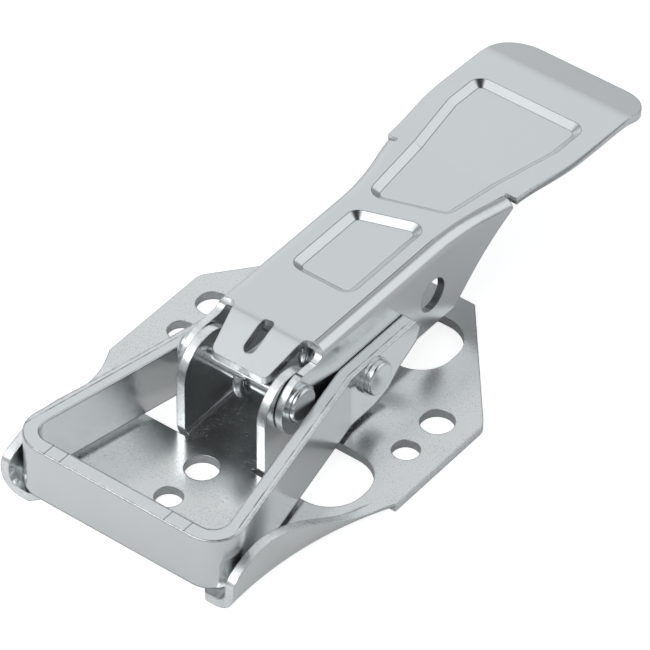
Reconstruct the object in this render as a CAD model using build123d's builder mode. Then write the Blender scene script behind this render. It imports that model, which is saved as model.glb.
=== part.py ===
from build123d import *
from math import acos, atan2, cos, degrees, hypot, pi, radians, sin, tan
import os

os.makedirs("parts", exist_ok=True)

# Trailer drop side latch, lying flat with the paddle towards +Y.
# The origin is on the axis of the front centre-line hole, at the underside of the base plate.
# All sizes are in millimetres.

# shared stack across the width
plate_thick = 3.0
lever_thick = 2.5
bow_thick = 4.8
gap_flat = 0.3
pin_r = 3.2
pin_hole_r = 3.25
head_r = 5.5
washer_r = 6.0
washer_thick = 1.2

# base plate outline
front_y = -23.8
front_mid_y = -19.4
horn_root_x = 28.9
horn_tip_x = 32.2
horn_corner_r = 2.0
side_x = 52.9
side_front_y = 37.5
shoulder_y = 79.8
rear_x = 22.6
rear_shoulder_y = 116.7
rear_y = 120.0
rear_corner_x = 19.9
outline_corner_r = 5.0

# base plate holes
small_hole_r = 4.25
large_hole_r = 5.25
centre_large_y = 15.2
side_hole_x = 41.6
side_small_y = 57.3
side_large_y = 72.4

# lanced openings in the base plate
front_open_y0 = 22.7
front_open_y1 = 47.8
front_open_x = 43.2
front_open_r = 11.5
rear_open_y0 = 85.0
rear_open_y1 = 110.0
rear_open_x = 28.8
rear_open_in_x = 12.0
rear_open_r = 11.0
rear_open_in_r = 3.0

# upturned guides along both front edges
flare_inner_r = 4.0
flare_waist_y = -7.0
flare_mid_y = 16.0
flare_front_x = 42.5
flare_waist_x = 42.6
flare_mid_x = 45.7
flare_end_r = 0.8
flare_mid_r = 2.5
flare_blank_z = 20.0
flare_root = 8.0
flare_nose_z = 8.5
flare_rise_y = -18.5
flare_rise_z = 13.9
flare_crest_y = -8.8
flare_crest_z = 16.2
flare_fall_y = 12.7
flare_fall_z = 9.6
flare_toe_y = 34.5

# lanced ears that carry the main pin
ear_out_x = 16.2
ear_in_x = ear_out_x - plate_thick
ear_bend_r = 1.5
ear_top_r = 11.8
ear_top_z = 21.2

# pivots
pivot_y = 35.6
pivot_z = 24.8
bow_pin_y = 63.8
bow_pin_z = 17.9

# lever pressing
cheek_in_x = ear_out_x + gap_flat
cheek_out_x = cheek_in_x + lever_thick
lever_top_z = 37.2
lever_bend_r = 3.8
fork_y = 47.6
fork_bend_r = 3.4
neck_end_y = 103.0
cheek_mid_y = 120.0
cheek_mid_x = 20.8
cheek_end_y = 132.6
cheek_end_x = 23.8
cheek_end_lean = 0.2
cheek_back_lean = 0.8
cheek_nose_y = 38.2
cheek_nose_z = 22.7
cheek_nose_r = 10.2
cheek_low_z = 8.2
cheek_low_y0 = 60.0
cheek_low_y1 = 107.5
cheek_heel_y = 112.6
cheek_heel_z = 11.1
cheek_back_y = 124.0
cheek_back_z = 25.6
cheek_back_top_z = 34.4
cheek_hole_y = 99.8
cheek_hole_z = 20.6
cheek_hole_r = 5.6

# lever nose tab
tab_front_y = 32.0
tab_front_z = 31.1
tab_bend_y = 45.0
tab_bend_r = 10.0
tab_front_x = 10.0
tab_root_x = 12.5
tab_corner_r = 2.3
tab_slot_r = 2.0
tab_slot_y0 = 37.9
tab_slot_y1 = 45.4
notch_corner_r = 2.6

# lever paddle
relief_width = 1.5
relief_in_x = 20.8
paddle_flat_y = 136.0
paddle_fall_y = 185.5
paddle_fall_z = 35.0
paddle_tip_y = 201.0
paddle_tip_z = 30.2
paddle_bend_r = 25.0
paddle_root_x = 23.8
paddle_root_lean = 0.03
paddle_mid_y = 150.0
paddle_mid_x = 25.7
paddle_wide_y = 164.0
paddle_wide_x = 26.9
paddle_tip_r = 11.0

# pressed recesses in the lever
press_depth = 1.7
press_angle = 56.0
press_lift = 0.5
neck_press_x = 11.3
neck_press_y0 = 69.6
neck_press_y1 = 104.8
neck_press_skew = 3.9
neck_press_r = 4.2
palm_press_y0 = 111.7
palm_press_y1 = 174.6
palm_press_x0 = 12.6
palm_press_x1 = 15.7
palm_press_x2 = 20.2
palm_press_overlap = 6.0
palm_press_straight = 15.0
palm_press_skew = 4.2
palm_press_r = 4.5

# bow
bow_out_x = 24.1
bow_kink_y = 54.6
bow_corner_x = 40.6
bow_front_y = -24.8
bow_bend_r = 10.0
bow_low_z = 4.8
bow_top_z = 23.5
bow_tail_y = 87.3
bow_tail_z = 20.4
bow_tail_top_y = 85.0
bow_tail_low_y = 85.3
bow_tail_low_z = 15.8
bow_step_y = 77.4
bow_step_z = 11.6
bow_heel_y = 71.7
bow_heel_z = 6.6
bow_heel_end_y = 65.0

# pin heads
main_washer_out_x = cheek_out_x + washer_thick
main_head_x = 21.5
bow_washer_out_x = bow_out_x + washer_thick
bow_head_x = 27.6
head_round = 1.0
head_overlap = 0.5

# torsion spring on the bow pin
wire_r = 1.75
coil_r = 5.85
coil_pitch = 3.56
coil_full_turns = 3
coil_start_x = 1.2
hook_gap = 0.2
hook_r = pin_r + hook_gap + wire_r
hook_end_angle = 146.0
rest_leg_y = 50.5
rest_leg_z = plate_thick + gap_flat + wire_r

# helper lengths
press_spread = press_lift * tan(radians(press_angle))
far = 300.0
slab_top = 60.0
pick_margin = 0.1
run_past = 1.0


# right-hand guide: a wall rolled up from the sheet, leaning out and running down to nothing
with BuildPart() as flare_blank:
    for at_y, at_x, at_r in (
        (front_y, flare_front_x, flare_inner_r),
        (flare_waist_y, flare_waist_x, flare_inner_r),
        (flare_mid_y, flare_mid_x, flare_mid_r),
        (side_front_y, side_x, flare_end_r),
    ):
        wall_in_x = at_x - plate_thick
        bend_x = wall_in_x - at_r
        bend_z = plate_thick + at_r
        root_x = at_x - flare_root
        with BuildSketch(Plane.XZ.offset(-at_y)):
            with BuildLine():
                Line((root_x, 0), (bend_x, 0))
                CenterArc((bend_x, bend_z), bend_z, -90, 90)
                Line((at_x, bend_z), (at_x, flare_blank_z))
                Line((at_x, flare_blank_z), (wall_in_x, flare_blank_z))
                Line((wall_in_x, flare_blank_z), (wall_in_x, bend_z))
                CenterArc((bend_x, bend_z), at_r, 0, -90)
                Line((bend_x, plate_thick), (root_x, plate_thick))
                Line((root_x, plate_thick), (root_x, 0))
            make_face()
    loft()
    with BuildSketch(Plane.YZ) as flare_trim:
        with BuildLine():
            Line((front_y, flare_nose_z), (front_y, slab_top))
            Line((front_y, slab_top), (side_front_y, slab_top))
            Line((side_front_y, slab_top), (side_front_y, plate_thick))
            Line((side_front_y, plate_thick), (flare_toe_y, plate_thick))
            Spline(
                (flare_toe_y, plate_thick),
                (flare_fall_y, flare_fall_z),
                (flare_crest_y, flare_crest_z),
                (flare_rise_y, flare_rise_z),
                (front_y, flare_nose_z),
                tangents=((-1, 0), (0, -1)),
            )
        make_face()
    extrude(amount=far, mode=Mode.SUBTRACT)

# both ears with the strip of web between them, bent up from one flat strip
ear_front_y = pivot_y - ear_top_r
ear_rear_y = pivot_y + ear_top_r
ear_out_bend_r = ear_bend_r + plate_thick
with BuildPart() as ear_blank:
    with BuildSketch(Plane.XZ.offset(-ear_front_y)):
        with Locations((0, slab_top / 2)):
            Rectangle(2 * ear_out_x, slab_top)
        with Locations((0, plate_thick + slab_top / 2)):
            Rectangle(2 * ear_in_x, slab_top, mode=Mode.SUBTRACT)
    extrude(amount=ear_front_y - ear_rear_y)
    long_edges = ear_blank.edges().filter_by(Axis.Y)
    outer_folds = long_edges.filter_by_position(Axis.Z, -pick_margin, pick_margin)
    fillet(outer_folds, radius=ear_out_bend_r)
    long_edges = ear_blank.edges().filter_by(Axis.Y)
    floor_edges = long_edges.filter_by_position(
        Axis.Z, plate_thick - pick_margin, plate_thick + pick_margin
    )
    fillet(floor_edges, radius=ear_bend_r)
    with BuildSketch(Plane.YZ.offset(-far / 2)):
        Rectangle(far, far)
        with Locations((pivot_y, 0)):
            Rectangle(2 * ear_top_r, 2 * ear_top_z, mode=Mode.SUBTRACT)
        with Locations((pivot_y, ear_top_z)):
            Circle(ear_top_r, mode=Mode.SUBTRACT)
        with Locations((pivot_y, pivot_z)):
            Circle(pin_hole_r)
    extrude(amount=far, mode=Mode.SUBTRACT)

# base plate: one sheet with its holes, openings, ears and rolled-up guides
with BuildPart() as base_plate:
    with BuildSketch() as blank_outline:
        with BuildLine():
            Polyline(
                (0, front_mid_y),
                (horn_root_x, front_mid_y),
                (horn_tip_x, front_y),
                (flare_front_x - flare_root, front_y),
                (flare_waist_x - flare_root, flare_waist_y),
                (flare_mid_x - flare_root, flare_mid_y),
                (side_x - flare_root, side_front_y),
                (side_x, side_front_y),
                (side_x, shoulder_y),
                (rear_x, rear_shoulder_y),
                (rear_corner_x, rear_y),
                (0, rear_y),
                (0, front_mid_y),
            )
        make_face()
        shoulder = blank_outline.vertices().filter_by_position(
            Axis.Y, shoulder_y - pick_margin, rear_shoulder_y + pick_margin
        )
        fillet(shoulder, radius=outline_corner_r)
        horn = blank_outline.vertices().filter_by_position(
            Axis.X, horn_root_x - pick_margin, horn_tip_x + pick_margin
        )
        fillet(horn, radius=horn_corner_r)
    extrude(amount=plate_thick)
    add(flare_blank.part)
    mirror(about=Plane.YZ)
    with BuildSketch() as openings:
        with Locations((0, (front_open_y0 + front_open_y1) / 2)):
            Rectangle(2 * front_open_x, front_open_y1 - front_open_y0)
        front_corners = openings.vertices()
        fillet(front_corners, radius=front_open_r)
        with BuildLine():
            Polyline(
                (rear_open_in_x, rear_open_y0),
                (rear_open_x, rear_open_y0),
                (rear_open_x, rear_open_y1),
                (rear_open_in_x, rear_open_y1),
                (rear_open_in_x, rear_open_y0),
            )
        make_face()
        rear_end = openings.vertices().filter_by_position(
            Axis.X, rear_open_x - pick_margin, rear_open_x + pick_margin
        )
        fillet(rear_end, radius=rear_open_r)
        rear_start = openings.vertices().filter_by_position(
            Axis.X, rear_open_in_x - pick_margin, rear_open_in_x + pick_margin
        )
        fillet(rear_start, radius=rear_open_in_r)
        mirror(about=Plane.YZ)
        with Locations((0, (front_open_y0 + front_open_y1) / 2)):
            web_half = ear_in_x - ear_bend_r
            Rectangle(2 * web_half, front_open_y1 - front_open_y0, mode=Mode.SUBTRACT)
    extrude(amount=plate_thick, mode=Mode.SUBTRACT)
    add(ear_blank.part)
    with BuildSketch() as plate_holes:
        Circle(small_hole_r)
        with Locations((0, centre_large_y)):
            Circle(large_hole_r)
        with Locations((side_hole_x, side_small_y), (-side_hole_x, side_small_y)):
            Circle(small_hole_r)
        with Locations((side_hole_x, side_large_y), (-side_hole_x, side_large_y)):
            Circle(large_hole_r)
    extrude(amount=plate_thick, mode=Mode.SUBTRACT)
base_plate.part.label = "base_plate"
export_step(base_plate.part, "parts/base_plate.step")

# right half of the lever shell: flat top folded down into a cheek that flares out at the rear
with BuildPart() as shell_outer:
    with BuildSketch():
        with BuildLine():
            Line((0, 0), (cheek_out_x, 0))
            Line((cheek_out_x, 0), (cheek_out_x, neck_end_y))
            Spline(
                (cheek_out_x, neck_end_y),
                (cheek_mid_x, cheek_mid_y),
                (cheek_end_x, cheek_end_y),
                tangents=((0, 1), (cheek_end_lean, 1)),
            )
            Line((cheek_end_x, cheek_end_y), (0, cheek_end_y))
            Line((0, cheek_end_y), (0, 0))
        make_face()
    extrude(amount=lever_top_z)
    top_rim = shell_outer.faces().sort_by(Axis.Z)[-1].edges()
    fold_rim = top_rim.filter_by_position(Axis.X, cheek_in_x, cheek_end_x)
    fillet(fold_rim, radius=lever_bend_r)

# the room inside the shell, one sheet thickness smaller
inner_end_x = cheek_end_x - lever_thick
inner_end_y = cheek_end_y + run_past
with BuildPart() as shell_inner:
    with BuildSketch():
        with BuildLine():
            Line((0, -run_past), (cheek_in_x, -run_past))
            Line((cheek_in_x, -run_past), (cheek_in_x, neck_end_y))
            Spline(
                (cheek_in_x, neck_end_y),
                (cheek_mid_x - lever_thick, cheek_mid_y),
                (inner_end_x, cheek_end_y),
                tangents=((0, 1), (cheek_end_lean, 1)),
            )
            Line((inner_end_x, cheek_end_y), (inner_end_x, inner_end_y))
            Line((inner_end_x, inner_end_y), (0, inner_end_y))
            Line((0, inner_end_y), (0, -run_past))
        make_face()
    extrude(amount=lever_top_z - lever_thick)
    top_rim = shell_inner.faces().sort_by(Axis.Z)[-1].edges()
    fold_rim = top_rim.filter_by_position(Axis.X, cheek_in_x - lever_thick, cheek_end_x)
    fillet(fold_rim, radius=lever_bend_r - lever_thick)

# side view of the cheeks: round nose, notch behind the nose tab, sloping rear edge
nose_top_z = cheek_nose_z + cheek_nose_r
fork_bend_y = fork_y - fork_bend_r
fork_bend_z = nose_top_z + fork_bend_r
with BuildPart() as cheek_trim:
    with BuildSketch(Plane.YZ.offset(-far / 2)):
        with BuildLine():
            Line((cheek_nose_y, nose_top_z), (fork_bend_y, nose_top_z))
            RadiusArc((fork_bend_y, nose_top_z), (fork_y, fork_bend_z), -fork_bend_r)
            Line((fork_y, fork_bend_z), (fork_y, slab_top))
            Line((fork_y, slab_top), (cheek_end_y, slab_top))
            Line((cheek_end_y, slab_top), (cheek_end_y, cheek_back_top_z))
            Spline(
                (cheek_end_y, cheek_back_top_z),
                (cheek_back_y, cheek_back_z),
                (cheek_heel_y, cheek_heel_z),
                (cheek_low_y1, cheek_low_z),
                tangents=((-1, -cheek_back_lean), (-1, 0)),
            )
            Line((cheek_low_y1, cheek_low_z), (cheek_low_y0, cheek_low_z))
            Line((cheek_low_y0, cheek_low_z), (cheek_nose_y, cheek_nose_z - cheek_nose_r))
            Line((cheek_nose_y, cheek_nose_z - cheek_nose_r), (cheek_nose_y, nose_top_z))
        make_face()
        with Locations((cheek_nose_y, cheek_nose_z)):
            Circle(cheek_nose_r)
        with Locations((pivot_y, pivot_z), (bow_pin_y, bow_pin_z)):
            Circle(pin_hole_r, mode=Mode.SUBTRACT)
        with Locations((cheek_hole_y, cheek_hole_z)):
            Circle(cheek_hole_r, mode=Mode.SUBTRACT)
    extrude(amount=far)

# top sheet in side view, from the bent-down nose to the curled tip of the paddle
tab_slope = (lever_top_z - tab_front_z) / (tab_bend_y - tab_front_y)
with BuildPart() as top_sheet:
    with BuildSketch(Plane.YZ.offset(-far / 2)):
        with BuildLine():
            FilletPolyline(
                (tab_front_y - run_past, tab_front_z - run_past * tab_slope),
                (tab_bend_y, lever_top_z),
                (paddle_flat_y, lever_top_z),
                radius=tab_bend_r,
            )
            FilletPolyline(
                (paddle_flat_y, lever_top_z),
                (paddle_fall_y, paddle_fall_z),
                (paddle_tip_y + run_past, paddle_tip_z),
                radius=paddle_bend_r,
            )
            offset(amount=lever_thick, side=Side.RIGHT)
        make_face()
    extrude(amount=far)
    tab_root_y = fork_y - notch_corner_r
    neck_flat_x = tab_root_x + notch_corner_r
    relief_end_y = cheek_end_y + relief_width
    with BuildSketch() as top_plan:
        with BuildLine():
            Line((0, tab_front_y), (tab_front_x, tab_front_y))
            Line((tab_front_x, tab_front_y), (tab_root_x, tab_root_y))
            RadiusArc((tab_root_x, tab_root_y), (neck_flat_x, fork_y), notch_corner_r)
            Polyline(
                (neck_flat_x, fork_y),
                (neck_flat_x, cheek_end_y),
                (relief_in_x, cheek_end_y),
                (relief_in_x, relief_end_y),
                (paddle_root_x, relief_end_y),
            )
            Spline(
                (paddle_root_x, relief_end_y),
                (paddle_mid_x, paddle_mid_y),
                (paddle_wide_x, paddle_wide_y),
                tangents=((paddle_root_lean, 1), (0, 1)),
            )
            Polyline(
                (paddle_wide_x, paddle_wide_y),
                (paddle_wide_x, paddle_tip_y),
                (0, paddle_tip_y),
                (0, tab_front_y),
            )
        make_face()
        outer_points = top_plan.vertices().filter_by_position(Axis.X, run_past, far)
        fillet(outer_points.sort_by(Axis.Y)[0], radius=tab_corner_r)
        outer_points = top_plan.vertices().filter_by_position(Axis.X, run_past, far)
        fillet(outer_points.sort_by(Axis.Y)[-1], radius=paddle_tip_r)
    extrude(amount=slab_top, mode=Mode.INTERSECT)

# lever: shell, nose tab and paddle in one pressing
palm_slope = Plane(
    origin=(0, paddle_flat_y, lever_top_z),
    x_dir=(1, 0, 0),
    z_dir=(0, lever_top_z - paddle_fall_z, paddle_fall_y - paddle_flat_y),
)
palm_run = palm_press_y1 - paddle_flat_y
palm_wide_run = palm_run - palm_press_straight
palm_right_y = palm_press_y0 + palm_press_skew
palm_left_y = palm_press_y0 - palm_press_skew
palm_lap_y = paddle_flat_y + palm_press_overlap
with BuildPart() as lever:
    add(shell_outer.part)
    add(shell_inner.part, mode=Mode.SUBTRACT)
    add(cheek_trim.part, mode=Mode.INTERSECT)
    add(top_sheet.part)
    with BuildSketch():
        with Locations((relief_in_x, cheek_end_y + relief_width / 2)):
            Circle(relief_width / 2)
    extrude(amount=slab_top, mode=Mode.SUBTRACT)
    mirror(about=Plane.YZ)
    with BuildSketch(Plane.XY.offset(pivot_z)):
        with Locations((0, (tab_slot_y0 + tab_slot_y1) / 2)):
            SlotCenterToCenter(tab_slot_y1 - tab_slot_y0, 2 * tab_slot_r, rotation=90)
    extrude(amount=slab_top, mode=Mode.SUBTRACT)

    # each pressing is a hollow in the face and the same form standing out of the back
    for press_mode, press_drop in ((Mode.ADD, lever_thick), (Mode.SUBTRACT, 0)):
        press_top_z = lever_top_z - press_drop + press_lift
        with BuildSketch(Plane.XY.offset(press_top_z)) as neck_face:
            with BuildLine():
                Polyline(
                    (-neck_press_x, neck_press_y0),
                    (neck_press_x, neck_press_y0),
                    (neck_press_x, neck_press_y1 + neck_press_skew),
                    (-neck_press_x, neck_press_y1 - neck_press_skew),
                    (-neck_press_x, neck_press_y0),
                )
            make_face()
            fillet(neck_face.vertices(), radius=neck_press_r)
            offset(amount=press_spread)
        extrude(amount=-press_depth - press_lift, taper=press_angle, mode=press_mode)
        # the palm pressing crosses the bend, so its front part lies in the flat
        with BuildSketch(Plane.XY.offset(press_top_z)) as palm_front:
            with BuildLine():
                Polyline(
                    (palm_press_x0, palm_right_y),
                    (palm_press_x1, paddle_flat_y),
                    (palm_press_x1, palm_lap_y),
                    (-palm_press_x1, palm_lap_y),
                    (-palm_press_x1, paddle_flat_y),
                    (-palm_press_x0, palm_left_y),
                    (palm_press_x0, palm_right_y),
                )
            make_face()
            fillet(palm_front.vertices(), radius=palm_press_r)
            offset(amount=press_spread)
        extrude(amount=-press_depth - press_lift, taper=press_angle, mode=press_mode)
        # and its rear part follows the slope of the paddle
        with BuildSketch(palm_slope.offset(press_lift - press_drop)) as palm_rear:
            with BuildLine():
                Polyline(
                    (palm_press_x0, -palm_press_overlap),
                    (palm_press_x1, 0),
                    (palm_press_x2, palm_wide_run),
                    (palm_press_x2, palm_run),
                    (-palm_press_x2, palm_run),
                    (-palm_press_x2, palm_wide_run),
                    (-palm_press_x1, 0),
                    (-palm_press_x0, -palm_press_overlap),
                    (palm_press_x0, -palm_press_overlap),
                )
            make_face()
            fillet(palm_rear.vertices(), radius=palm_press_r)
            offset(amount=press_spread)
        extrude(amount=-press_depth - press_lift, taper=press_angle, mode=press_mode)
lever.part.label = "lever"
export_step(lever.part, "parts/lever.step")

# bow: one flat bar bent into a long loop, open at the rear
trim_low_z = bow_low_z - run_past
trim_top_z = bow_top_z + run_past
trim_end_y = bow_tail_y + run_past
with BuildPart() as bow:
    with BuildSketch(Plane.XY.offset(bow_low_z)):
        with BuildLine():
            FilletPolyline(
                (bow_out_x, bow_tail_y),
                (bow_out_x, bow_kink_y),
                (bow_corner_x, bow_front_y),
                (-bow_corner_x, bow_front_y),
                (-bow_out_x, bow_kink_y),
                (-bow_out_x, bow_tail_y),
                radius=bow_bend_r,
            )
            offset(amount=bow_thick, side=Side.RIGHT)
        make_face()
    extrude(amount=bow_top_z - bow_low_z)
    with BuildSketch(Plane.YZ.offset(-far / 2)) as tail_trim:
        with BuildLine():
            Polyline(
                (bow_tail_top_y, trim_top_z),
                (bow_tail_top_y, bow_top_z),
                (bow_tail_y, bow_tail_z),
                (bow_tail_low_y, bow_tail_low_z),
                (bow_step_y, bow_step_z),
                (bow_heel_y, bow_heel_z),
                (bow_heel_end_y, bow_low_z),
                (bow_heel_end_y, trim_low_z),
                (trim_end_y, trim_low_z),
                (trim_end_y, trim_top_z),
                (bow_tail_top_y, trim_top_z),
            )
        make_face()
        with Locations((bow_pin_y, bow_pin_z)):
            Circle(pin_hole_r)
    extrude(amount=far, mode=Mode.SUBTRACT)
bow.part.label = "bow"
export_step(bow.part, "parts/bow.step")

# main pin through ears and cheeks, with a round head formed at each end
with BuildPart() as main_pin:
    with Locations((0, pivot_y, pivot_z)):
        Cylinder(pin_r, 2 * (main_washer_out_x + head_overlap), rotation=(0, 90, 0))
    for side in (1, -1):
        with Locations((side * (main_washer_out_x + main_head_x) / 2, pivot_y, pivot_z)):
            Cylinder(head_r, main_head_x - main_washer_out_x, rotation=(0, 90, 0))
    end_faces = main_pin.faces().sort_by(Axis.X)
    fillet(end_faces[0].edges() + end_faces[-1].edges(), radius=head_round)
main_pin.part.label = "main_pin"
export_step(main_pin.part, "parts/main_pin.step")

# bow pin through the bow arms and cheeks, headed the same way
with BuildPart() as bow_pin:
    with Locations((0, bow_pin_y, bow_pin_z)):
        Cylinder(pin_r, 2 * (bow_washer_out_x + head_overlap), rotation=(0, 90, 0))
    for side in (1, -1):
        with Locations((side * (bow_washer_out_x + bow_head_x) / 2, bow_pin_y, bow_pin_z)):
            Cylinder(head_r, bow_head_x - bow_washer_out_x, rotation=(0, 90, 0))
    end_faces = bow_pin.faces().sort_by(Axis.X)
    fillet(end_faces[0].edges() + end_faces[-1].edges(), radius=head_round)
bow_pin.part.label = "bow_pin"
export_step(bow_pin.part, "parts/bow_pin.step")

# one washer under each pin head
for side_name, side in (("right", 1), ("left", -1)):
    with BuildPart() as main_washer:
        with Locations((side * (cheek_out_x + washer_thick / 2), pivot_y, pivot_z)):
            Cylinder(washer_r, washer_thick, rotation=(0, 90, 0))
            Cylinder(pin_hole_r, washer_thick, rotation=(0, 90, 0), mode=Mode.SUBTRACT)
    main_washer.part.label = "main_washer_" + side_name
    export_step(main_washer.part, "parts/main_washer_" + side_name + ".step")
    with BuildPart() as bow_washer:
        with Locations((side * (bow_out_x + washer_thick / 2), bow_pin_y, bow_pin_z)):
            Cylinder(washer_r, washer_thick, rotation=(0, 90, 0))
            Cylinder(pin_hole_r, washer_thick, rotation=(0, 90, 0), mode=Mode.SUBTRACT)
    bow_washer.part.label = "bow_washer_" + side_name
    export_step(bow_washer.part, "parts/bow_washer_" + side_name + ".step")

# torsion spring: a hook round the front of the main pin, a close coil on the bow pin
# and a short leg that rests on the plate
span_y = pivot_y - bow_pin_y
span_z = pivot_z - bow_pin_z
span_angle = degrees(atan2(span_z, span_y))
cross_angle = degrees(acos((hook_r + coil_r) / hypot(span_y, span_z)))
leave_angle = span_angle - cross_angle
meet_angle = leave_angle + 180
rest_y = rest_leg_y - bow_pin_y
rest_z = rest_leg_z - bow_pin_z
rest_angle = degrees(atan2(rest_z, rest_y))
rest_cross = degrees(acos(coil_r / hypot(rest_y, rest_z)))
rest_leave_angle = rest_angle + rest_cross
coil_sweep = leave_angle - rest_leave_angle + 360 * coil_full_turns
coil_width = coil_pitch * coil_sweep / 360
coil_end_x = coil_start_x + coil_width
coil_slope = coil_pitch / (2 * pi * coil_r)


def ring_point(x, centre_y, centre_z, radius, angle):
    along = centre_y + radius * cos(radians(angle))
    above = centre_z + radius * sin(radians(angle))
    return (x, along, above)


hook_end = ring_point(coil_start_x, pivot_y, pivot_z, hook_r, hook_end_angle)
hook_mid = ring_point(coil_start_x, pivot_y, pivot_z, hook_r, (hook_end_angle + meet_angle) / 2)
hook_start = ring_point(coil_start_x, pivot_y, pivot_z, hook_r, meet_angle)
coil_start = ring_point(coil_start_x, bow_pin_y, bow_pin_z, coil_r, leave_angle)
coil_end = ring_point(coil_end_x, bow_pin_y, bow_pin_z, coil_r, rest_leave_angle)
leg_run = (0, sin(radians(leave_angle)), -cos(radians(leave_angle)))
coil_in = (coil_slope, leg_run[1], leg_run[2])
rest_run = (0, sin(radians(rest_leave_angle)), -cos(radians(rest_leave_angle)))
coil_out = (coil_slope, rest_run[1], rest_run[2])
coil_plane = Plane(
    origin=(coil_start_x, bow_pin_y, bow_pin_z),
    x_dir=(0, cos(radians(leave_angle)), sin(radians(leave_angle))),
    z_dir=(1, 0, 0),
)
coil_line = coil_plane * Helix(coil_pitch, coil_width, coil_r, lefthand=True)

with BuildPart() as torsion_spring:
    with BuildLine() as wire_path:
        ThreePointArc(hook_end, hook_mid, hook_start)
        Spline(hook_start, coil_start, tangents=(leg_run, coil_in))
        add(coil_line)
        Spline(coil_end, (coil_end_x, rest_leg_y, rest_leg_z), tangents=(coil_out, rest_run))
    hook_tangent = (0, -sin(radians(hook_end_angle)), cos(radians(hook_end_angle)))
    with BuildSketch(Plane(origin=hook_end, z_dir=hook_tangent)):
        Circle(wire_r)
    sweep(path=wire_path.line)
torsion_spring.part.label = "torsion_spring"
export_step(torsion_spring.part, "parts/torsion_spring.step")
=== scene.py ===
import math

import bpy
import bmesh
from mathutils import Matrix, Vector

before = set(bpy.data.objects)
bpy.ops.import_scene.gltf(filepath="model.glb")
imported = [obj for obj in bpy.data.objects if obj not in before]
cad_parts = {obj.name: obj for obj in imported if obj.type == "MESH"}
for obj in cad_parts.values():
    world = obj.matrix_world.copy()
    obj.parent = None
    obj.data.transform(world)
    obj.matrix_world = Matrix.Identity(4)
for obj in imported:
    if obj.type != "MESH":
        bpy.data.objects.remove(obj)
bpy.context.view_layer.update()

MM = 0.001

# ---------------------------------------------------------------- camera, solved from the photo
AZIM = math.radians(37.478)
ELEV = math.radians(42.163)
ROLL = math.radians(0.415)
DIST = 1571.62 * MM
SHIFT_R = -44.651 * MM
SHIFT_U = -49.082 * MM
FOCAL_PX = 5500.0
IMAGE_PX = 650.0
SENSOR = 36.0
CLIP_NEAR = 0.05
CLIP_FAR = 50
TARGET = Vector((0, 0, 3.0 * MM))

# ---------------------------------------------------------------- floor and lights
FLOOR_SIZE = 6.0
FLOOR_GREYS = ((0.54, 0.545, 0.55, 1), (0.56, 0.565, 0.57, 1))
FLOOR_CLOUD = 30.0
# how bright the floor looks by itself: straight to the camera, and in the metal from one side to
# the other, along FLOOR_ALONG over FLOOR_FADE
FLOOR_GLOW = 0.8
FLOOR_MIRRORED = (0.36, 0.12)
FLOOR_ALONG = (0.707, 0.707, 0)
FLOOR_FADE = (-0.04, 0.07)

KEY_SIZE = 0.6
KEY_POWER = 2.2
KEY_PLACE = (-0.55, -0.95, 0.95)
KEY_AIM = (0, 0.08, 0)

SKY_COLOUR = (0.96, 0.985, 1.0, 1)
SKY_HEIGHTS = (-0.1, 0.9)
SKY_LEVELS = (0.30, 0.45)
# soft panels round the object: direction, full to this angle, gone at this angle, brightness
SOFTBOXES = (
    ((-0.70, 0.55, 0.45), 22, 42, 0.86),
    ((0.60, 0.58, 0.50), 26, 40, 1.0),
    ((-0.45, -0.05, 0.88), 14, 26, 0.9),
    ((-0.50, -0.42, 0.76), 8, 18, 1.25),
    ((-0.05, -0.62, 0.78), 16, 28, 2.0),
)
# a dark gap overhead, which the steep corners of the pressings mirror
DARK_GAP = ((0.36, -0.12, 0.93), 14, 28)
DARK_GAP_LEVEL = 0.04

# ---------------------------------------------------------------- where each kind of face lies
# base plate, in millimetres: sheet top, rolled edges, and what belongs to its outline
SHEET_TOP = 3.1
ROLLED_HIGH = 4.2
ROLLED_LOW = 3.15
ROLLED_SIDE = 36
OUTLINE_SIDE = 47.2
OUTLINE_REAR = 84
OUTLINE_REAR_SIDE = 27
HORNS_BEHIND = -15

# lever, in millimetres
CHEEK_TOP = 34.2
CHEEK_SIDE = 16.3
CHEEK_REAR = 131
NOSE_FRONT = 47.8
TAB_FRONT = 47.5
TAB_SIDE = 15.2
HOLE_FRONT = 93
HOLE_REAR = 106.5
HOLE_LOW = 14
PADDLE_FRONT = 133
PADDLE_UNDER = (34.4, 35.9)
FOLD_SIDE = 14.5
FOLD_REAR = 132.4
# how far up the face looks where the cheeks begin to fold down; a painted shade line is drawn there
FOLD_FACING = 0.9968
FOLD_SOFT = 0.003

# bow, in millimetres: the bending tool's marks, and a painted shade line round the top of the bar
PRESS_MARKS = (-25.2, -19.6, 18.2, 25.4)
PRESS_MARK_HALF = 0.35
PRESS_MARK_DEPTH = 0.6
FRONT_BAR_REAR = -19
TAIL_FRONT = 65
BAR_FRONT = 24.8
ARM_LEAN = (0.979, 0.2035)
ARM_FACE = 34.7
TAIL_FACE = 24.1
CORNER_ROUND = 9
ROUNDING_SHADE_AT = 1.5
ROUNDING_SHADE_HALF = 0.28
ROUNDING_SHADE_FROM_FRONT = 4
RIM_AT = 0.5
RIM_HALF = 0.6

# the pins' ends in front of this, in millimetres, belong to the main pin
MAIN_PIN_REAR = 45
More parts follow.
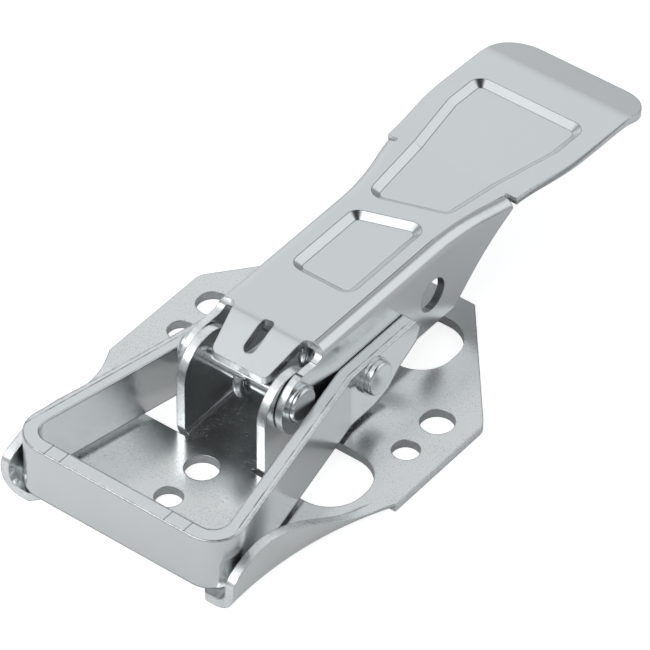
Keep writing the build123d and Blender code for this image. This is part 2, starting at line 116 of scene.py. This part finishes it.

# ---------------------------------------------------------------- colours of the plating, and greys for painted highlight and shade
PLATE_TINT = (0.785, 0.80, 0.80)
LEVER_TINT = (0.735, 0.755, 0.76)
BOW_TINT = (0.76, 0.78, 0.785)
PIN_TINT = (0.74, 0.765, 0.775)
WIRE_TINT = (0.62, 0.64, 0.65)
CLOUD_SHADE = 0.95
# painted shade grey and painted highlight grey for the faces each piece picks out
PAINTED_SHADE_GREY = (0.45, 0.465, 0.47, 1)
PAINTED_HIGHLIGHT_GREY = (0.93, 0.945, 0.95, 1)
# painted shade in creases and gentle bends
CREASE_SHADE = (0.06, 0.065, 0.07, 1)
# bow press marks, and painted shade lines at the lever's fold and round the bow's top
MARKS_AND_SHADE_LINES = (0.08, 0.085, 0.09, 1)
# painted highlight along the edges, patchy with wear
EDGE_HIGHLIGHT_AND_WEAR = (0.92, 0.94, 0.95, 1)
SPECK = (0.56, 0.58, 0.59, 1)
BUMP_STRENGTH = 0.22
BUMP_DEPTH = 0.00003


def add_camera():
    right = Vector((math.cos(AZIM), math.sin(AZIM), 0))
    back = Vector((
        math.sin(AZIM) * math.cos(ELEV),
        -math.cos(AZIM) * math.cos(ELEV),
        math.sin(ELEV),
    ))
    up = back.cross(right)
    cam_r = right * math.cos(ROLL) + up * math.sin(ROLL)
    cam_u = -right * math.sin(ROLL) + up * math.cos(ROLL)
    cam = bpy.data.cameras.new("photo_camera")
    cam.lens = FOCAL_PX * SENSOR / IMAGE_PX
    cam.sensor_width = SENSOR
    cam.clip_start = CLIP_NEAR
    cam.clip_end = CLIP_FAR
    ob = bpy.data.objects.new("photo_camera", cam)
    bpy.context.scene.collection.objects.link(ob)
    place = TARGET - cam_r * SHIFT_R - cam_u * SHIFT_U + back * DIST
    turn = Matrix((cam_r, cam_u, back)).transposed().to_4x4()
    ob.matrix_world = Matrix.Translation(place) @ turn
    bpy.context.scene.camera = ob


# ---------------------------------------------------------------- node helpers
class Nodes:
    """Adds shader nodes to one material or world, with plain values or links as inputs."""

    def __init__(self, owner):
        self.tree = owner.node_tree
        self.tree.nodes.clear()

    def add(self, kind, inputs=None, **settings):
        node = self.tree.nodes.new(kind)
        for key, value in settings.items():
            setattr(node, key, value)
        for key, value in (inputs or {}).items():
            if isinstance(value, bpy.types.NodeSocket):
                self.tree.links.new(value, node.inputs[key])
            else:
                node.inputs[key].default_value = value
        return node

    def noise(self, coord, scale, detail=3.0, rough=0.5):
        inputs = {"Vector": coord, "Scale": scale, "Detail": detail, "Roughness": rough}
        return self.add("ShaderNodeTexNoise", inputs).outputs["Fac"]

    def span(self, value, low, high, to_low, to_high):
        inputs = {0: value, 1: low, 2: high, 3: to_low, 4: to_high}
        return self.add("ShaderNodeMapRange", inputs, clamp=True).outputs[0]

    def math(self, operation, a, b=0.0):
        return self.add("ShaderNodeMath", {0: a, 1: b}, operation=operation).outputs[0]

    def smooth_min(self, a, b, width):
        inputs = {0: a, 1: b, 2: width}
        return self.add("ShaderNodeMath", inputs, operation="SMOOTH_MIN").outputs[0]

    def dot(self, a, b):
        node = self.add("ShaderNodeVectorMath", {0: a, 1: b}, operation="DOT_PRODUCT")
        return node.outputs["Value"]

    def cone(self, coord, direction, inner, outer, outside, inside):
        """One value inside a cone round a direction and another outside it, with a soft edge."""
        aim = self.dot(coord, Vector(direction).normalized())
        gone = math.cos(math.radians(outer))
        full = math.cos(math.radians(inner))
        return self.span(aim, gone, full, outside, inside)

    def mix_colour(self, factor, a, b):
        inputs = {0: factor, 6: a, 7: b}
        return self.add("ShaderNodeMix", inputs, data_type="RGBA").outputs[2]


class Faces:
    """Masks from where a point lies on the piece and which way its face looks."""

    def __init__(self, n):
        self.n = n
        source = n.add("ShaderNodeTexCoord")
        self.coord = source.outputs["Object"]
        place = n.add("ShaderNodeSeparateXYZ", {0: self.coord}).outputs
        facing = n.add("ShaderNodeSeparateXYZ", {0: source.outputs["Normal"]}).outputs
        self.x, self.y, self.z = place
        self.side = n.math("ABSOLUTE", self.x)
        self.facing_x = n.math("ABSOLUTE", facing[0])
        self.facing_y = n.math("ABSOLUTE", facing[1])
        self.facing_z = n.math("ABSOLUTE", facing[2])

    def below(self, value, limit):
        return self.n.math("LESS_THAN", value, limit)

    def above(self, value, limit):
        return self.n.math("GREATER_THAN", value, limit)

    def all_of(self, *masks):
        both = masks[0]
        for mask in masks[1:]:
            both = self.n.math("MULTIPLY", both, mask)
        return both

    def any_of(self, *masks):
        some = masks[0]
        for mask in masks[1:]:
            some = self.n.math("MAXIMUM", some, mask)
        return some

    def none_of(self, mask):
        return self.n.math("SUBTRACT", 1.0, mask)

    def ridge(self, value, centre, half):
        """One at the centre, gone at half the width to each side."""
        away = self.n.math("ABSOLUTE", self.n.math("SUBTRACT", value, centre))
        return self.n.span(away, 0.4 * half, half, 1.0, 0.0)


# Each of these gives three masks, or None: cut faces given a painted highlight, cut faces given
# painted shade, and fine dark lines, which are painted shade except the bow's press marks.
def plate_faces(f):
    """Painted highlights on the edges of the ears, guides and outline, painted shade on those in
    the holes and openings.
    """
    high = f.all_of(f.below(f.facing_x, 0.5), f.above(f.z, ROLLED_HIGH * MM))
    low = f.all_of(
        f.below(f.facing_x, 0.08),
        f.above(f.z, ROLLED_LOW * MM),
        f.above(f.side, ROLLED_SIDE * MM),
    )
    cut = f.all_of(f.below(f.facing_z, 0.3), f.below(f.z, SHEET_TOP * MM))
    outline = f.any_of(
        f.above(f.side, OUTLINE_SIDE * MM),
        f.all_of(f.above(f.y, OUTLINE_REAR * MM), f.above(f.side, OUTLINE_REAR_SIDE * MM)),
        f.below(f.y, HORNS_BEHIND * MM),
    )
    bright = f.any_of(high, low, f.all_of(cut, outline))
    return bright, f.all_of(cut, f.none_of(outline)), None


def lever_faces(f):
    """Painted highlights on the edges of cheeks, tab and paddle, painted shade in the cheek holes
    and under the paddle, and a painted shade line where the cheeks fold down.
    """
    cheek = f.all_of(
        f.below(f.facing_x, 0.45),
        f.below(f.z, CHEEK_TOP * MM),
        f.above(f.side, CHEEK_SIDE * MM),
        f.below(f.y, CHEEK_REAR * MM),
    )
    front = f.all_of(f.below(f.y, NOSE_FRONT * MM), f.above(f.facing_y, 0.6))
    tab = f.all_of(
        f.below(f.y, TAB_FRONT * MM),
        f.below(f.side, TAB_SIDE * MM),
        f.below(f.facing_z, 0.6),
    )
    hole = f.all_of(
        cheek,
        f.above(f.y, HOLE_FRONT * MM),
        f.below(f.y, HOLE_REAR * MM),
        f.above(f.z, HOLE_LOW * MM),
    )
    paddle = f.all_of(f.above(f.y, PADDLE_FRONT * MM), f.below(f.facing_z, 0.6))
    under_low, under_high = PADDLE_UNDER
    under = f.all_of(paddle, f.below(f.z, under_high * MM), f.above(f.z, under_low * MM))
    # painted shade: a thin dark line where the cheeks start to fold down
    fold = f.all_of(
        f.ridge(f.facing_z, FOLD_FACING, FOLD_SOFT),
        f.above(f.x, FOLD_SIDE * MM),
        f.below(f.y, FOLD_REAR * MM),
    )
    return f.any_of(cheek, front, tab, paddle), f.any_of(hole, under), fold


def bow_faces(f):
    """Painted highlights on the tail ends and the rim, patchy with wear, press marks across the
    front bar, and a painted shade line round the top.
    """
    n = f.n
    tail = f.all_of(
        f.below(f.facing_x, 0.5),
        f.above(f.y, TAIL_FRONT * MM),
        f.below(f.facing_z, 0.9),
    )
    marks = f.any_of(*(f.ridge(f.x, at * MM, PRESS_MARK_HALF * MM) for at in PRESS_MARKS))
    marks = f.all_of(marks, f.below(f.y, FRONT_BAR_REAR * MM), f.above(f.facing_z, 0.9))
    marks = n.math("MULTIPLY", marks, PRESS_MARK_DEPTH)
    # how far a point lies inside the outer face of the bar, along the front and along the arms
    from_front = n.math("ADD", f.y, BAR_FRONT * MM)
    lean_x, lean_y = ARM_LEAN
    across = n.math("ADD", n.math("MULTIPLY", f.side, lean_x), n.math("MULTIPLY", f.y, lean_y))
    from_arm = n.math("SUBTRACT", ARM_FACE * MM, across)
    from_tail = n.math("SUBTRACT", TAIL_FACE * MM, f.side)
    from_side = n.math("MAXIMUM", from_arm, from_tail)
    inside = n.smooth_min(from_front, from_side, CORNER_ROUND * MM)
    # painted shade: a thin dark line round the top of the bar, near its outer face, broken up by
    # noise
    rounding_shade = f.all_of(
        f.ridge(inside, ROUNDING_SHADE_AT * MM, ROUNDING_SHADE_HALF * MM),
        f.above(f.facing_z, 0.9),
        f.above(from_front, ROUNDING_SHADE_FROM_FRONT * MM),
    )
    broken = n.span(n.noise(f.coord, 160.0, 3.0, 0.7), 0.42, 0.6, 0.15, 0.8)
    # painted highlight along the outer rim of the top, patchy with wear
    rim = f.all_of(f.ridge(inside, RIM_AT * MM, RIM_HALF * MM), f.above(f.facing_z, 0.8))
    worn = n.span(n.noise(f.coord, 260.0, 4.0, 0.7), 0.45, 0.58, 0.0, 1.0)
    bright = f.any_of(tail, f.all_of(rim, worn))
    return bright, None, f.any_of(marks, f.all_of(rounding_shade, broken))


def pin_faces(f):
    """Painted shade: the end faces of the main pin and its washers are greyer than those of the bow
    pin.
    """
    return None, f.all_of(f.above(f.facing_x, 0.9), f.below(f.y, MAIN_PIN_REAR * MM)), None


def zinc(name, tint, rough, grain=1.0, edge_mm=0.35, sparkle=0.0, faces=None):
    """Zinc plating: cloudy, with painted highlights at the edges, patchy with wear, painted shade
    in the creases, and fine specks.
    """
    mat = bpy.data.materials.new(name)
    mat.use_nodes = True
    n = Nodes(mat)
    f = Faces(n)
    geo = n.add("ShaderNodeNewGeometry")
    bevel = n.add("ShaderNodeBevel", {"Radius": edge_mm * MM}, samples=8)
    # one on a flat, less the more the surface turns within the bevel's reach
    turn = n.dot(bevel.outputs[0], geo.outputs["Normal"])

    cloud = n.noise(f.coord, 45.0, 4.0, 0.6)
    grains = n.noise(f.coord, 650.0, 3.0, 0.6)
    fine = n.noise(f.coord, 2100.0, 2.0, 0.5)
    wear = n.span(n.noise(f.coord, 520.0, 4.0, 0.7), 0.38, 0.58, 0.3, 1.0)

    # painted highlight along every edge the bevel finds, patchy with wear
    edge = n.math("MULTIPLY", n.span(turn, 0.80, 0.93, 1.0, 0.0), wear)
    slight = n.span(turn, 0.985, 0.9985, 1.0, 0.0)
    # painted shade where the surface bends gently, a little patchy with wear
    crease_shade = n.math("MULTIPLY", slight, n.span(turn, 0.90, 0.945, 0.0, 1.0))
    crease_shade = n.math("MULTIPLY", crease_shade, n.span(wear, 0.35, 1.0, 1.0, 0.7))

    shaded = (*[c * CLOUD_SHADE for c in tint], 1)
    colour = n.mix_colour(n.span(cloud, 0.3, 0.7, 0.0, 1.0), shaded, (*tint, 1))
    shade = n.span(cloud, 0.25, 0.75, rough - 0.03, rough + 0.05)
    bright, shade_faces, line = faces(f) if faces else (None, None, None)
    # painted highlight and painted shade on the faces each piece picks out
    if bright and shade_faces:
        bright = n.math("MAXIMUM", n.math("SUBTRACT", bright, shade_faces), 0.0)
    if shade_faces:
        # painted shade: holes, openings, undersides and the main pin's ends are greyed, in grains
        shade_faces = n.math("MULTIPLY", shade_faces, n.span(grains, 0.35, 0.65, 0.75, 1.0))
        colour = n.mix_colour(shade_faces, colour, PAINTED_SHADE_GREY)
        shade = n.math("ADD", shade, n.math("MULTIPLY", shade_faces, 0.2))
    if bright:
        # painted highlight on cut faces, patchy with wear
        bright = n.math("MULTIPLY", bright, wear)
        colour = n.mix_colour(bright, colour, PAINTED_HIGHLIGHT_GREY)
        shade = n.math("ADD", shade, n.math("MULTIPLY", bright, 0.12))
    colour = n.mix_colour(n.math("MULTIPLY", crease_shade, 0.8), colour, CREASE_SHADE)
    if line:
        # dark lines: painted shade at the lever's fold and round the bow's top, and the bow's press
        # marks
        colour = n.mix_colour(n.math("MULTIPLY", line, 0.9), colour, MARKS_AND_SHADE_LINES)
    colour = n.mix_colour(edge, colour, EDGE_HIGHLIGHT_AND_WEAR)
    shade = n.math("ADD", shade, n.math("MULTIPLY", edge, 0.1))

    patches = n.span(n.noise(f.coord, 90.0, 4.0, 0.7), 0.42, 0.62, 0.15, 1.0)
    on_flats = n.span(f.facing_z, 0.5, 0.85, 0.2 * sparkle, sparkle)
    patches = n.math("MULTIPLY", patches, on_flats)
    specks = n.math("MULTIPLY", n.span(fine, 0.56, 0.64, 0.0, 1.0), patches)
    colour = n.mix_colour(specks, colour, SPECK)
    bump = n.add(
        "ShaderNodeBump",
        {
            "Strength": BUMP_STRENGTH * grain,
            "Distance": BUMP_DEPTH,
            "Height": grains,
            "Normal": bevel.outputs[0],
        },
    )
    shader = n.add(
        "ShaderNodeBsdfPrincipled",
        {
            "Base Color": colour,
            "Metallic": n.math("SUBTRACT", 1.0, specks),
            "Roughness": shade,
            "Normal": bump.outputs[0],
        },
    )
    n.add("ShaderNodeOutputMaterial", {0: shader.outputs[0]})
    return mat


def floor_material():
    mat = bpy.data.materials.new("pale_floor")
    mat.use_nodes = True
    n = Nodes(mat)
    coord = n.add("ShaderNodeTexCoord").outputs["Object"]
    along = n.dot(coord, FLOOR_ALONG)
    path = n.add("ShaderNodeLightPath")
    camera_part = n.math("MULTIPLY", path.outputs["Is Camera Ray"], FLOOR_GLOW)
    mirrored = n.math("MAXIMUM", path.outputs["Is Glossy Ray"], path.outputs["Is Transmission Ray"])
    mirrored_part = n.math("MULTIPLY", mirrored, n.span(along, *FLOOR_FADE, *FLOOR_MIRRORED))
    grey = n.mix_colour(n.noise(coord, FLOOR_CLOUD), *FLOOR_GREYS)
    diffuse = n.add("ShaderNodeBsdfDiffuse", {"Color": grey})
    strength = n.math("ADD", camera_part, mirrored_part)
    glow = n.add("ShaderNodeEmission", {"Color": (1, 1, 1, 1), "Strength": strength})
    both = n.add("ShaderNodeAddShader", {0: diffuse.outputs[0], 1: glow.outputs[0]})
    n.add("ShaderNodeOutputMaterial", {0: both.outputs[0]})
    return mat


def set_material(ob, mat):
    ob.data.materials.clear()
    ob.data.materials.append(mat)


# ---------------------------------------------------------------- stage and lights
def add_stage():
    mesh = bpy.data.meshes.new("floor")
    bm = bmesh.new()
    bmesh.ops.create_grid(bm, x_segments=2, y_segments=2, size=FLOOR_SIZE)
    bm.to_mesh(mesh)
    bm.free()
    ob = bpy.data.objects.new("floor", mesh)
    bpy.context.scene.collection.objects.link(ob)
    set_material(ob, floor_material())


def add_key_light():
    data = bpy.data.lights.new("key", "AREA")
    data.energy = KEY_POWER
    data.size = KEY_SIZE
    ob = bpy.data.objects.new("key", data)
    bpy.context.scene.collection.objects.link(ob)
    ob.location = KEY_PLACE
    aim = Vector(KEY_AIM) - Vector(KEY_PLACE)
    ob.rotation_euler = aim.to_track_quat("-Z", "Y").to_euler()


def add_world():
    world = bpy.data.worlds.new("studio")
    bpy.context.scene.world = world
    world.use_nodes = True
    n = Nodes(world)
    coord = n.add("ShaderNodeTexCoord").outputs["Generated"]
    height = n.add("ShaderNodeSeparateXYZ", {0: coord}).outputs[2]
    level = n.span(height, *SKY_HEIGHTS, *SKY_LEVELS)
    for direction, inner, outer, strength in SOFTBOXES:
        part = n.cone(coord, direction, inner, outer, 0.0, 1.0)
        level = n.math("MAXIMUM", level, n.math("MULTIPLY", part, strength))
    level = n.math("MULTIPLY", level, n.cone(coord, *DARK_GAP, 1.0, DARK_GAP_LEVEL))
    back = n.add("ShaderNodeBackground", {"Color": SKY_COLOUR, "Strength": level})
    n.add("ShaderNodeOutputWorld", {0: back.outputs[0]})


add_camera()
add_stage()
add_world()
add_key_light()

plate_zinc = zinc("zinc_plate", PLATE_TINT, 0.21, 1.0, 0.45, 0.5, plate_faces)
lever_zinc = zinc("zinc_lever", LEVER_TINT, 0.21, 0.5, 0.4, 0.0, lever_faces)
bow_zinc = zinc("zinc_bow", BOW_TINT, 0.2, 0.8, 0.9, 0.08, bow_faces)
pin_zinc = zinc("zinc_pins", PIN_TINT, 0.18, grain=0.5, sparkle=0.05, faces=pin_faces)
wire_zinc = zinc("zinc_wire", WIRE_TINT, 0.24, grain=0.8, sparkle=0.1)
own_zinc = {
    "base_plate": plate_zinc,
    "lever": lever_zinc,
    "bow": bow_zinc,
    "torsion_spring": wire_zinc,
}
# the pins and washers share one material
for name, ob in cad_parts.items():
    set_material(ob, own_zinc.get(name, pin_zinc))

bpy.context.scene.view_settings.view_transform = "Standard"
